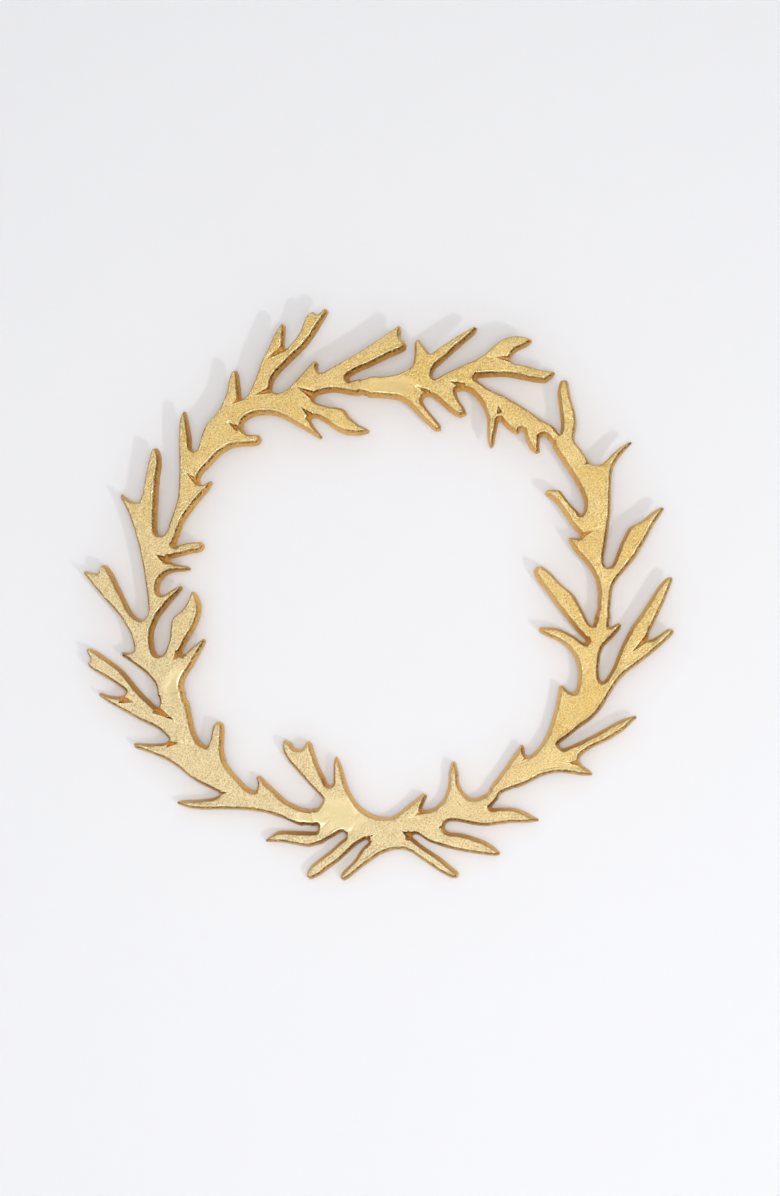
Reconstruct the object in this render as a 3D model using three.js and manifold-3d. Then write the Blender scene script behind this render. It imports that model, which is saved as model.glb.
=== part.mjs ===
// A wall wreath of seven sand-cast metal sprigs, butt-welded end to end into a ring.
//
// Millimetres, +Z up. The wreath hangs upright and its front faces -Y. Everything is drawn from
// the middle of the ring, with the flat back in the plane y = 0, and moved at the end so that the
// origin is where the wall hook bears, under the bar of the hanging loop.
// Each sprig is a flat casting with a flat back, and a soft edge all round the front. A weld
// fills each seam from the front to a raised bead on the back, and a bent rod welded across the
// top seam makes the hanging loop.

import * as THREE from 'three';
import { mergeVertices } from 'three/addons/utils/BufferGeometryUtils.js';
import Module from 'manifold-3d';

const wasm = await Module();
wasm.setup();

// Castings
const PLATE = 11;              // thickness
const EDGE_INSET = 0.6;        // how far the soft front edge comes in from the outline
const EDGE_DROP = 2.6;         // how far below the front face it starts
const BEND_RADIUS = 25;        // of a gentle bend in an outline, where none is given
const ARC_STEP = 36;           // degrees of arc to a facet
const STRAIGHT = 12;           // a bend of fewer degrees than this stays one corner
const SHARP = 1;               // and so does a corner that has room for no more than this radius
const ARC_SHARE = 0.9;         // the most of a side that the arcs at its two ends may take
const FIT_PASSES = 6;          // rounds of moving the corners until each arc passes its point

// Seams and welds
const GAP = 0.3;               // between a weld and the castings
const WELD_SINK = 0.3;         // the weld is ground this far below the front face
const BEAD_WIDTH = 9;          // raised bead on the back
const BEAD_HEIGHT = 2.4;
const BEAD_TRIM = 2.5;         // the bead stops this far short of both edges

// Hanging loop: a bent rod across the top seam, standing out from the back
const ROD_RADIUS = 2;
const LOOP_SPAN = 30;          // between the centres of its legs
const LOOP_DEPTH = 12;         // from the back to the centre of its bar
const LOOP_BEND = 5;           // size of its corners
const LOOP_X = -6;             // middle of the bar
const LOOP_Z = 176.5;          // height of the bar
const FILLET_RADIUS = 4.6;     // fillet weld round each foot
const FILLET_HEIGHT = 3;

// Where the hook bears: on the underside of the bar, straight above the centre of mass
const HOOK = new THREE.Vector3(-2.6, LOOP_DEPTH, LOOP_Z - ROD_RADIUS);

const castGold = { color: 0xe0bc6a, roughness: 0.42, metalness: 1 };
const groundGold = { color: 0xe8cc84, roughness: 0.34, metalness: 1 };
const rodGold = { color: 0xd2ab58, roughness: 0.38, metalness: 1 };

// The end faces at each seam, as [x, z]. Anticlockwise round the ring as seen from the front, the
// casting that comes first ends at `before`, and the next one starts at `after`.
const SEAMS = {
  bottom: {
    before: { outer: [-61.5, -196.5], inner: [-61.5, -182] },
    after: { outer: [-55, -197], inner: [-55, -183] },
  },
  lowerRight: {
    before: { outer: [97, -182], inner: [91.5, -171.5] },
    after: { outer: [102, -176], inner: [96, -167] },
  },
  right: {
    before: { outer: [197, -30], inner: [183, -29] },
    after: { outer: [197.5, -24], inner: [185, -24] },
  },
  upperRight: {
    before: { outer: [156, 134], inner: [150, 125] },
    after: { outer: [153, 138], inner: [146.5, 129] },
  },
  top: {
    before: { outer: [-7, 184.5], inner: [-7.5, 168.5] },
    after: { outer: [-13, 183], inner: [-13.5, 170] },
  },
  upperLeft: {
    before: { outer: [-177.5, 58.5], inner: [-166.5, 56] },
    after: { outer: [-179, 54.5], inner: [-168, 52] },
  },
  left: {
    before: { outer: [-185, -88], inner: [-162.5, -85] },
    after: { outer: [-184, -93], inner: [-161, -90.5] },
  },
};

// An end face as two outline corners, running towards or away from the ring's centre
const inward = (end) => [[...end.outer, 0], [...end.inner, 0]];
const outward = (end) => [[...end.inner, 0], [...end.outer, 0]];

// Outlines of the sprigs, as corners [x, z, radius]. A rounded corner passes through its point,
// so the point of a tip or a crotch is where it ends.

// Bottom sprig: eight arms fanned about a broad palm.
const BOTTOM = [
  ...inward(SEAMS.bottom.after),
  // joint end, then the crotch below the forked arm
  [-49, -181.5, 3.8], [-45.5, -175, 4.2],
  // forked arm
  [-52.5, -166.5], [-68.5, -149], [-77, -138.5], [-79.5, -132, 10.2], [-78, -124.5, 1.8],
  [-72, -126.5, 2.6], [-68.5, -131.5, 3.4], [-62.5, -131.5, 3.4], [-58, -125.5, 1.8],
  [-54.5, -127.5, 2.2], [-51.5, -137.5], [-47.5, -148], [-43, -157],
  // short spike
  [-40, -162.5, 3], [-36.5, -161.5, 1.6], [-36, -149.5], [-35.5, -142], [-33.5, -138.5, 1.6],
  [-30.5, -143, 6.8], [-27.5, -151.5], [-23.5, -165], [-17.5, -176], [-9, -184.5],
  [-0.5, -188.5], [12.5, -189.5], [20, -185.5], [30, -177.5],
  // tooth
  [39.5, -170, 1.6], [43, -171.5, 1.6], [39.5, -183, 1.6], [46.5, -183, 6.8], [54, -178.5, 15.2],
  [58.5, -171.5, 17], [61, -162.5], [62, -149], [65.5, -143, 2.6], [69.5, -149.5],
  [70.5, -162.5], [75, -170, 12], [80.5, -174, 10.2], [87, -173],
  // joint end to the lower right
  ...outward(SEAMS.lowerRight.before),
  // leaf
  [104, -182], [116, -182.5], [124.5, -185], [131.5, -189], [137, -192.5, 1.2], [129.5, -194.5],
  [112.5, -195], [91.5, -197.5], [82, -196.5], [70, -194], [61.5, -194, 5.2], [58, -198.5, 3.8],
  [61.5, -202.5, 5.2],
  // upper long blade
  [72, -203.5], [86.5, -208], [96.5, -212.5], [103, -218, 5.2], [104.5, -220.5, 1.8],
  [100.5, -222.5, 3.4], [87, -221], [72, -218.5], [59, -215.5], [44.5, -210.5], [33.5, -204.5],
  [30.5, -206, 2],
  // lower long blade
  [40.5, -214.5], [54, -223.5], [65, -232.5], [69.5, -236.5, 2.6], [68.5, -240.5, 2.2],
  [64, -241, 3.4], [55, -236.5], [44.5, -229.5], [33.5, -222], [27, -218, 13.6],
  [19, -217, 15.2], [10.5, -218.5], [0.5, -223.5], [-13, -233], [-21.5, -240],
  // left blade
  [-27, -243, 1.8], [-30, -240.5, 2.2], [-28.5, -236, 5.2], [-18.5, -226], [-12.5, -217],
  [-6.5, -210, 2.2], [-9, -209, 2.6], [-14, -211.5], [-21.5, -218], [-31, -226.5], [-41, -234],
  [-49.5, -240],
  // broad left blade
  [-55.5, -242, 2.6], [-58.5, -239.5, 2.6], [-57, -233, 7.6], [-49.5, -226], [-39.5, -218.5],
  [-31, -211], [-25.5, -205.5, 2.2], [-28.5, -202.5, 2.6], [-34.5, -205.5], [-43, -210.5],
  [-50.5, -214], [-59, -214.5], [-67.5, -213], [-79.5, -211],
  // leaf beside the joint
  [-93.5, -209.5, 1.2], [-89.5, -205.5, 8.4], [-83.5, -201.5, 12], [-73.5, -201],
  [-61.5, -201.5], [-50, -201.5, 1.6], [-49.5, -197.5, 1.6],
];

// Lower right sprig, from the bottom seam up to the slim neck.
const LOWER_RIGHT = [
  ...inward(SEAMS.lowerRight.after),
  // joint end, inner edge of the stem and its tooth
  [104, -155], [112.5, -143], [120.5, -131.5], [123, -129, 1.4], [125, -131.5, 1.6],
  [126, -137.5, 2.6], [129, -139, 1.6], [132, -137], [137.5, -131.5], [142, -124.5],
  [146, -115.5], [149, -106], [151.5, -97], [153.5, -87.5],
  // second tooth
  [155, -80, 1.4], [157.5, -79.5, 1.4], [161.5, -83.5, 5.2], [166, -85.5, 2.6],
  [168.5, -83.5, 3.4], [170.5, -76.5], [170.5, -66.5], [168.5, -57.5, 15.2], [163, -49, 17],
  [154.5, -42, 25.6], [144, -38],
  // curved blade
  [138, -34, 1.8], [138, -30.5, 1.8], [143, -30, 8.4], [151, -30.5], [159.5, -33.5],
  [168, -38.5],
  [175, -43.5, 1.6], [177, -42.5, 1.4], [171, -35.5], [156, -16.5], [143, 1], [135.5, 11],
  // broad blade
  [133.5, 17, 3.4], [136, 21, 2.6], [140.5, 21.5, 3.4], [147.5, 16.5], [154.5, 9], [160, 3.5],
  [166, -1, 17], [169.5, -6, 13.6], [174, -14.5], [178.5, -24], [180.5, -28, 1.6],
  ...outward(SEAMS.right.before),
  // tooth at the neck
  [199.5, -29.5, 3.4], [205, -27, 1.6], [207, -29, 1.6], [205.5, -33, 6.8], [195.5, -44],
  [191, -49.5, 12], [189, -59.5], [188, -69.5], [190.5, -76, 2.8], [194, -74, 3.4], [199.5, -65],
  // forked arm
  [206.5, -48], [215.5, -30.5], [222, -21.5], [232, -6.5], [240, 5.5], [245, 10.5, 4.2],
  [249.5, 11.5, 1.6], [250.5, 9, 1.6], [248, 2], [245, -5.5], [239.5, -18], [233.5, -30],
  [230.5, -36.5], [230, -41, 1.6], [236, -39.5], [241, -35.5], [247, -32, 2.6], [251, -34, 2.2],
  [249.5, -38, 2.6], [242, -45], [231.5, -54], [220.5, -62.5], [208, -72], [199.5, -83.5],
  [191, -97.5], [182.5, -107.5], [172, -115], [162, -123],
  // long blade
  [154.5, -129, 1.8], [157, -132.5, 2], [168, -128.5], [181.5, -122], [193.5, -115.5],
  [203.5, -110], [212, -106.5], [219.5, -106, 1.4], [217.5, -109, 2.6], [208.5, -117.5],
  [196, -125.5], [182.5, -132],
  // spike
  [172.5, -139, 4.2], [171.5, -142, 2.6], [173, -146, 4.2], [180.5, -151.5, 5.2],
  [182, -154.5, 1.2], [175.5, -155.5], [165.5, -154], [156, -153], [148.5, -153.5],
  [140.5, -155.5], [129.5, -161], [120.5, -165], [111, -167.5], [105, -171, 5],
];

// Upper right sprig: slim neck, two arms each side, and a tall spike by the seam.
const UPPER_RIGHT = [
  ...inward(SEAMS.right.after),
  // joint end and the slim neck, inner side
  [187, -14.5], [187.5, -5], [187.5, 3.5], [184.5, 12], [179.5, 21], [171.5, 30],
  [165.5, 37],
  // tooth
  [163, 43.5, 1.6], [164, 45.5, 1.6], [172.5, 45.5, 1.2], [172.5, 47.5, 1.6], [166.5, 55],
  [156, 70.5], [150, 77.5],
  // stub
  [143.5, 82.5, 2.2], [145, 86, 2.2], [151, 87, 8.4], [156, 86, 2.2], [159, 82.5], [164.5, 75],
  [171.5, 67.5], [173.5, 65.5, 1.6], [176, 68.5, 3.4], [176.5, 75, 10.2], [174.5, 81.5],
  [171, 89], [165, 99.5], [157.5, 111],
  // joint end to the top
  ...outward(SEAMS.upperRight.before),
  // tall spike
  [157, 141, 6.8], [156.5, 149.5], [155.5, 158], [154.5, 167.5], [155, 175], [157.5, 180, 3.4],
  [162.5, 180, 2.6], [164.5, 174], [166, 165], [168.5, 156.5], [170.5, 147], [170, 137.5],
  [169, 129, 12], [173.5, 122], [179, 113.5], [183, 108.5, 6.8], [189, 107.5, 7.6], [194, 110],
  [201, 117.5], [207.5, 122.5],
  // side spike
  [215, 127, 1.2], [217, 126, 1.2], [213, 121], [205.5, 112], [201.5, 104.5, 10.2],
  [200, 97, 17], [199.5, 82.5], [199, 69.5], [197, 52.5], [194.5, 36.5],
  [193, 26.5, 10.2], [195, 20.5, 2.6], [199, 21.5, 3.4], [202.5, 29], [206.5, 39], [211, 48.5],
  [215, 54.5, 6.8], [223, 58.5], [232, 65.5],
  // broad blade
  [240, 70.5, 3.4], [243.5, 70, 1.6], [241.5, 65, 5.2], [234.5, 54.5], [226, 39], [218.5, 27],
  [211, 18], [204, 9.5], [200, 1.5, 12], [199, -7], [198, -15.5],
];

// Top sprig: arms above, and a row of thorns along the inside of the ring.
const TOP = [
  ...outward(SEAMS.top.before),
  // joint end, upper side
  [4, 185.5], [14, 186.5], [23.5, 189.5, 15.2], [30, 194, 8.4], [32.5, 200.5],
  [32.5, 209],
  // tooth
  [33.5, 215.5, 2.6], [36, 217, 1.8], [41, 211], [46.5, 205, 1.6], [55, 210.5], [66.5, 218],
  [77, 224],
  // long spike
  [83.5, 227.5, 1.6], [86.5, 226, 1.6], [84, 220.5, 5.2], [77, 214.5], [64.5, 203.5], [56, 196],
  [49.5, 189.5, 6.8], [48.5, 184.5, 2.6], [50.5, 183, 2.2], [58, 187], [68.5, 192],
  [78.5, 196.5], [88, 200.5], [96.5, 207.5], [104, 214],
  // hooked leaf
  [113.5, 218.5], [123, 219], [129.5, 217, 6.8], [133, 214.5, 2], [130.5, 210.5, 5.2],
  [123.5, 207], [117.5, 203.5, 6.8], [115, 198, 2.6], [117.5, 195.5, 2.6], [129, 193],
  [139, 190], [146.5, 188.5],
  // lower fork arm
  [152.5, 186.5, 1.6], [149.5, 181.5, 4.2], [144, 178, 5.2], [136.5, 178.5], [124.5, 181],
  [111, 183.5], [95.5, 183.5], [86.5, 182, 1.2], [95.5, 174], [106, 169], [116, 163.5],
  [129.5, 155], [140.5, 147],
  // stem to the joint
  ...inward(SEAMS.upperRight.after),
  // small teeth along the inner side
  [143, 132, 4.2], [139.5, 130.5, 1.6], [139, 123], [139, 118.5, 1.8], [135.5, 117.5, 2.2],
  [130.5, 122, 5.2], [127, 130], [125, 136.5, 1.6], [122.5, 137, 1.6], [120.5, 134.5, 1.6],
  [116.5, 135.5, 4.2], [110, 140.5], [105, 145, 1.6], [103.5, 141, 2.6], [101.5, 131],
  [100, 124.5],
  // inner spike
  [98, 122.5, 1.6], [96, 124.5, 3.4], [94.5, 133.5], [94.5, 144.5], [93, 152.5], [89, 160.5],
  [83, 168], [75, 172], [69, 171, 2.6], [69.5, 167.5, 3.4], [72.5, 161.5], [76.5, 155.5],
  // blunt spike
  [77, 151.5, 2.4], [71.5, 149, 3.4], [64, 153], [55.5, 160.5], [48, 166.5], [42, 167, 3.4],
  [40, 163.5, 2.6], [44.5, 156], [51, 148], [55.5, 141.5],
  // slim spike
  [55, 138, 2], [51, 137.5, 3.4], [43, 144], [33, 154.5], [24, 162.5, 17], [15, 165.5], [3, 167],
];

// Upper left sprig, the longest, with tall arms standing outwards.
const UPPER_LEFT = [
  ...outward(SEAMS.top.after),
  // joint end and the forked arm, lower side
  [-23, 183, 1.6], [-22, 185.5, 2.2], [-15, 189.5], [-5.5, 193.5], [10.5, 201],
  [21, 205.5],
  // fork tips
  [25, 208, 3], [26, 212, 2.2], [24, 216, 2.6], [21, 218.5, 2.2], [21.5, 224.5, 2.6],
  [20, 229, 1.6], [15.5, 227, 3.4], [3, 218.5], [-12.5, 208.5], [-27.5, 200], [-38.5, 194],
  [-47, 189.5, 3.4], [-49.5, 191, 2.6], [-49.5, 197, 2.6], [-52.5, 200, 2], [-56, 197.5, 5.2],
  [-62, 191], [-69, 183], [-76.5, 175.5, 17], [-84.5, 172.5],
  [-89, 174, 1.6], [-88, 181.5, 6.8], [-81.5, 190.5], [-68.5, 203.5], [-58.5, 213.5],
  [-50.5, 225], [-43.5, 236.5],
  // tall forked blade
  [-41, 242, 2.6], [-44, 245, 2.2], [-47.5, 242.5, 3.4], [-50.5, 240.5, 2.6],
  [-54.5, 242.5, 2.6], [-58.5, 240.5], [-63, 232.5], [-66.5, 223.5], [-72.5, 215.5],
  [-77.5, 211, 1.2], [-78.5, 215, 3.4], [-78, 223.5],
  // inner spike of the tall blade
  [-78, 230, 2.2], [-81, 232.5, 2], [-84, 229, 8.4], [-88, 223], [-92, 213.5], [-98, 201.5],
  [-103, 187.5], [-107.5, 176.5], [-111.5, 170, 4.2], [-115, 168.5, 1.6], [-116, 172.5, 3.4],
  [-117, 181],
  // spike
  [-118, 188.5, 5.2], [-120.5, 192.5, 2], [-124.5, 190.5, 3.4], [-127, 183], [-129, 172.5],
  [-132, 165], [-136, 157], [-142.5, 150.5], [-148, 142.5], [-150.5, 134.5], [-152.5, 127.5],
  [-155.5, 122.5, 2.4], [-158, 126, 3.4], [-158.5, 134.5], [-160, 143], [-161.5, 150.5],
  // left spike
  [-164.5, 157.5, 1.6], [-168, 153.5, 6.8], [-169.5, 144.5], [-169.5, 126.5], [-169, 107],
  [-169.5, 92.5], [-170.5, 81.5], [-173.5, 71.5], [-176.5, 63],
  // joint end to the left
  ...inward(SEAMS.upperLeft.before),
  [-164, 62], [-157.5, 71.5], [-151, 80], [-144.5, 87.5],
  // lower spike
  [-140, 94.5, 1.6], [-141.5, 97, 1.6], [-146, 95, 6.8], [-149.5, 94, 2.6], [-151, 97.5, 3.4],
  [-149, 102.5, 6.8], [-143, 109], [-136.5, 116], [-129, 122.5], [-119.5, 126], [-108.5, 126.5],
  // stub
  [-101, 127.5, 3.4], [-98, 131, 2.2], [-100.5, 136, 2.6], [-106, 136.5], [-111, 137.5, 5.2],
  [-114, 142, 4.2], [-112, 147.5, 5.2], [-106, 151.5, 12], [-95, 153.5], [-83, 151.5],
  [-71, 145.5], [-58, 138],
  // spike
  [-47.5, 132, 1.2], [-46, 133.5, 1.2], [-50, 139], [-54.5, 145.5], [-55.5, 149, 1.8],
  [-52, 150, 5.2], [-44.5, 147], [-35.5, 140], [-26.5, 136], [-18.5, 134.5],
  // curved leaf
  [-10, 135.5, 5.2], [-5.5, 138, 1.6], [-11, 142.5], [-19, 147], [-23, 151.5, 8.4],
  [-27, 157, 10.2], [-34.5, 159.5], [-44.5, 161], [-52.5, 165, 2.6], [-51.5, 168.5, 3.4],
  [-44, 171.5], [-33.5, 172], [-23.5, 171],
];

// Left sprig: one tall blade, a forked arm, and hooked thorns inside.
const LEFT = [
  ...outward(SEAMS.upperLeft.after),
  // joint end, then the tall blade
  [-182, 51, 3.4], [-185.5, 51, 3.4], [-187.5, 56, 5.2], [-187.5, 67],
  [-186.5, 84], [-185.5, 101], [-184, 113], [-185, 120.5, 6.8], [-188.5, 126, 3],
  [-192.5, 125, 2.6], [-194.5, 119.5, 13.6], [-197, 108], [-200, 92], [-201.5, 83.5],
  // tooth
  [-204, 79.5, 2.2], [-208.5, 80], [-214, 83.5], [-219, 86.5, 1.2], [-219.5, 83.5, 1.4],
  [-213.5, 71.5], [-207, 53.5], [-202.5, 36.5], [-199, 19.5], [-196.5, 2.5], [-195, -9.5],
  [-195.5, -18, 6.8], [-199.5, -21.5, 3.4], [-204.5, -19.5], [-210, -12.5],
  // forked arm
  [-219, 5.5], [-226, 19.5], [-230, 24.5, 4.2], [-234.5, 26, 2.6], [-237, 23, 3.4],
  [-238.5, 19, 1.6], [-243.5, 19.5], [-250, 20.5, 1.6], [-250.5, 18, 1.6], [-242.5, 8],
  [-231, -5.5], [-219.5, -18.5], [-211.5, -31], [-207.5, -41],
  [-207, -48, 2.6], [-211, -49.5], [-217.5, -49, 1.2], [-217, -52.5, 1.6], [-209.5, -57.5],
  [-199.5, -65], [-191.5, -72], [-187.5, -79],
  ...inward(SEAMS.left.before),
  // small spike beside the joint
  [-164, -78, 6.8], [-162.5, -71.5, 13.6], [-157, -63], [-151, -52.5], [-146.5, -44],
  [-145, -40, 2.2], [-147, -38, 1.6], [-153, -42], [-160, -48], [-165, -52, 1.6],
  [-164.5, -48, 3.4], [-160, -39], [-154.5, -30], [-150.5, -21], [-149, -11], [-150.5, -4],
  // curved leaf
  [-154, 1, 4.2], [-157, 2.5, 1.6], [-159, -1.5], [-162, -8.5], [-168, -15.5],
  [-173.5, -20, 4.2], [-175.5, -26.5], [-176, -35.5], [-178, -45], [-182, -51.5, 4.2],
  [-186, -52, 3.4], [-189, -47, 6.8], [-190, -37.5], [-188, -25], [-182, -15.5], [-173.5, -5],
  // inner spike
  [-165.5, 4, 1.8], [-166, 7, 1.6], [-172, 5.5], [-178.5, 1.5], [-183, -0.5, 2.6],
  [-185.5, 4, 4.2], [-184.5, 10, 6.8], [-180, 15.5], [-172, 19], [-165.5, 19.5],
  [-158.5, 21, 1.2], [-159.5, 23.5, 1.2], [-168, 25.5], [-176.5, 29, 1.2], [-174.5, 30.5, 1.2],
  [-167, 32.5], [-157, 35], [-149, 37],
  // long inner spike
  [-146.5, 41, 2.2], [-149, 44.5, 2.4], [-158.5, 44.5], [-166.5, 43], [-170.5, 42, 1.2],
  [-170.5, 45.5, 3.4],
];

// Lower left sprig: straight tapering spikes along the outside.
const LOWER_LEFT = [
  ...outward(SEAMS.left.after),
  // joint end, then the long forked arm
  [-186, -96, 1.2], [-194.5, -89], [-205, -77.5], [-216.5, -64], [-228, -55.5],
  [-238, -48.5], [-243.5, -46, 4.2], [-247.5, -46.5, 1.6], [-246, -52], [-244, -55.5, 1.6],
  [-246.5, -58, 1.6], [-245, -62, 3.4], [-236, -68], [-224, -75], [-217, -80],
  [-214, -83.5, 2.2], [-217, -86.5, 3.4], [-225.5, -86.5], [-236.5, -84, 1.4],
  [-235, -87.5, 2.6], [-225, -94], [-203.5, -106], [-186.5, -114.5],
  // second spike
  [-178.5, -120.5], [-176.5, -124, 2.6], [-180, -126.5, 3.4], [-193.5, -127], [-206, -127, 1.6],
  [-205.5, -130.5, 1.6], [-193, -135], [-178, -141.5], [-167, -148.5], [-158.5, -155.5],
  [-149, -161.5], [-139, -166],
  // third spike
  [-133, -170, 1.8], [-137.5, -173, 4.2], [-150, -174.5], [-163, -175], [-169, -177, 1.2],
  [-162, -181], [-149, -183], [-132, -183], [-112, -183.5], [-94, -186], [-79.5, -190.5],
  [-70, -194.5],
  ...inward(SEAMS.bottom.before),
  [-69, -180], [-78.5, -173], [-90, -162.5],
  // tooth
  [-98.5, -154.5, 1.4], [-101.5, -156, 1.6], [-100.5, -163], [-102, -167, 1.6],
  [-106.5, -166, 8.4], [-115, -158], [-124, -148], [-128.5, -138.5], [-129.5, -128.5],
  [-129, -116.5],
  // stub
  [-130, -110.5, 2.8], [-134.5, -108.5, 2.6], [-138.5, -112, 4.2], [-140, -119], [-141.5, -126],
  [-143.5, -129, 2.2], [-148, -127, 8.4], [-152, -121.5], [-155, -112.5], [-157.5, -100.5],
];

// Turns corners [x, z, radius] into an outline whose round corners pass through their points.
// A corner's arc touches both its sides, and gives way where the sides are too short for it.
function roundedOutline(corners) {
  const points = corners.map(([x, z]) => new THREE.Vector2(x, z));
  const radii = corners.map(([, , radius = BEND_RADIUS]) => radius);
  const count = points.length;
  const vertices = points.map((point) => point.clone());
  let arcs = [];
  for (let pass = 0; pass < FIT_PASSES; pass += 1) {
    arcs = vertices.map((vertex, i) => {
      const toPrevious = vertices[(i + count - 1) % count].clone().sub(vertex);
      const toNext = vertices[(i + 1) % count].clone().sub(vertex);
      const nextLength = toNext.length();
      toPrevious.normalize();
      toNext.normalize();
      const cosine = THREE.MathUtils.clamp(toPrevious.dot(toNext), -0.9999, 0.9999);
      const half = Math.acos(cosine) / 2;
      const reach = radii[i] / Math.tan(half);
      return { toPrevious, toNext, nextLength, half, reach };
    });
    const shares = arcs.map((arc, i) => {
      const needed = arc.reach + arcs[(i + 1) % count].reach;
      return Math.min(1, (ARC_SHARE * arc.nextLength) / needed);
    });
    arcs.forEach((arc, i) => {
      arc.reach *= Math.min(shares[i], shares[(i + count - 1) % count]);
      arc.radius = arc.reach * Math.tan(arc.half);
      arc.bisector = arc.toPrevious.clone().add(arc.toNext).normalize();
      arc.vertex = vertices[i].clone();
    });
    arcs.forEach((arc, i) => {
      const retreat = arc.radius * (1 / Math.sin(arc.half) - 1);
      vertices[i] = points[i].clone().addScaledVector(arc.bisector, -retreat);
    });
  }
  const outline = arcs.flatMap((arc, i) => {
    const turn = Math.PI - 2 * arc.half;
    if (arc.radius < SHARP || THREE.MathUtils.radToDeg(turn) < STRAIGHT) {
      return [points[i]];
    }
    const centre = arc.vertex.clone().addScaledVector(arc.bisector, arc.radius / Math.sin(arc.half));
    const start = arc.vertex.clone().addScaledVector(arc.toPrevious, arc.reach).sub(centre);
    const end = arc.vertex.clone().addScaledVector(arc.toNext, arc.reach).sub(centre);
    const sweep = Math.atan2(start.cross(end), start.dot(end));
    const steps = Math.ceil(THREE.MathUtils.radToDeg(turn) / ARC_STEP);
    return Array.from({ length: steps + 1 }, (_, step) => {
      const spoke = start.clone().rotateAround(new THREE.Vector2(), (sweep * step) / steps);
      return spoke.add(centre);
    });
  });
  // A point in line with its neighbours is left out
  return outline.filter((point, i) => {
    const before = outline[(i + outline.length - 1) % outline.length];
    const after = outline[(i + 1) % outline.length];
    const across = point.clone().sub(before).cross(after.clone().sub(before));
    return Math.abs(across) > 1e-3;
  });
}

// A shape drawn in x and z, extruded from y = back towards the front
function extrudeForward(points, back, settings) {
  const geometry = new THREE.ExtrudeGeometry(new THREE.Shape(points), settings);
  geometry.rotateX(Math.PI / 2);
  geometry.translate(0, back, 0);
  return geometry;
}

// A closed geometry as a manifold solid, and a solid as a geometry
function toSolid(geometry) {
  const bare = geometry.clone();
  bare.deleteAttribute('normal');
  bare.deleteAttribute('uv');
  const merged = mergeVertices(bare, 1e-4);
  return new wasm.Manifold(new wasm.Mesh({
    numProp: 3,
    vertProperties: new Float32Array(merged.attributes.position.array),
    triVerts: new Uint32Array(merged.index.array),
  }));
}

function toGeometry(solid) {
  const mesh = solid.getMesh();
  const geometry = new THREE.BufferGeometry();
  geometry.setAttribute('position', new THREE.BufferAttribute(mesh.vertProperties, mesh.numProp));
  geometry.setIndex(new THREE.BufferAttribute(mesh.triVerts, 1));
  geometry.computeVertexNormals();
  return geometry;
}

// A block large enough to cut away all that lies in front of, or behind, y = plane
function halfSpace(plane, side) {
  const size = 1000;
  const block = new THREE.BoxGeometry(size, size, size);
  block.translate(0, plane + (side * size) / 2, 0);
  return toSolid(block);
}

// A casting: flat on the back, with a soft edge all round the front. The extrusion is soft at
// both ends, so it starts behind the back plane and is cut off there.
function castingGeometry(corners) {
  const spare = 2;
  const whole = extrudeForward(roundedOutline(corners), spare, {
    depth: PLATE + spare - EDGE_DROP,
    bevelEnabled: true,
    bevelThickness: EDGE_DROP,
    bevelSize: EDGE_INSET,
    bevelOffset: -EDGE_INSET,
    bevelSegments: 1,
  });
  return toGeometry(toSolid(whole).intersect(halfSpace(0, -1)));
}

// The two points across a seam, each moved clear of its casting
function acrossSeam(seam, side) {
  const start = new THREE.Vector2(...seam.before[side]);
  const end = new THREE.Vector2(...seam.after[side]);
  const clearance = end.clone().sub(start).setLength(GAP);
  return [start.add(clearance), end.sub(clearance)];
}

// A weld: a slab that fills the seam, ground down at the front, with half an egg as its bead
function weldGeometry(seam) {
  const [outerStart, outerEnd] = acrossSeam(seam, 'outer');
  const [innerStart, innerEnd] = acrossSeam(seam, 'inner');
  const top = GAP + 0.1;
  const slab = extrudeForward([outerStart, innerStart, innerEnd, outerEnd], top, {
    depth: PLATE - WELD_SINK + top,
    bevelEnabled: false,
  });
  const outer = outerStart.lerp(outerEnd, 0.5);
  const inner = innerStart.lerp(innerEnd, 0.5);
  const middle = outer.clone().lerp(inner, 0.5);
  const along = outer.clone().sub(inner);
  const bead = new THREE.SphereGeometry(1, 16, 8);
  bead.scale(along.length() / 2 - BEAD_TRIM, BEAD_HEIGHT, BEAD_WIDTH / 2);
  bead.rotateY(-along.angle());
  bead.translate(middle.x, GAP, middle.y);
  const half = toSolid(bead).intersect(halfSpace(GAP, 1));
  return toGeometry(toSolid(slab).add(half));
}

// The rod of the hanging loop: two legs out from the back, and a bar between them
function loopGeometry() {
  const at = (x, y) => new THREE.Vector3(LOOP_X + x, y, LOOP_Z);
  const side = LOOP_SPAN / 2;
  const path = new THREE.CurvePath();
  path.add(new THREE.LineCurve3(at(-side, GAP), at(-side, LOOP_DEPTH - LOOP_BEND)));
  path.add(new THREE.QuadraticBezierCurve3(
    at(-side, LOOP_DEPTH - LOOP_BEND),
    at(-side, LOOP_DEPTH),
    at(-side + LOOP_BEND, LOOP_DEPTH),
  ));
  path.add(new THREE.LineCurve3(at(-side + LOOP_BEND, LOOP_DEPTH), at(side - LOOP_BEND, LOOP_DEPTH)));
  path.add(new THREE.QuadraticBezierCurve3(
    at(side - LOOP_BEND, LOOP_DEPTH),
    at(side, LOOP_DEPTH),
    at(side, LOOP_DEPTH - LOOP_BEND),
  ));
  path.add(new THREE.LineCurve3(at(side, LOOP_DEPTH - LOOP_BEND), at(side, GAP)));
  const section = new THREE.Shape().absarc(0, 0, ROD_RADIUS, 0, 2 * Math.PI);
  return new THREE.ExtrudeGeometry(section, { extrudePath: path, steps: 32, curveSegments: 6 });
}

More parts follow.
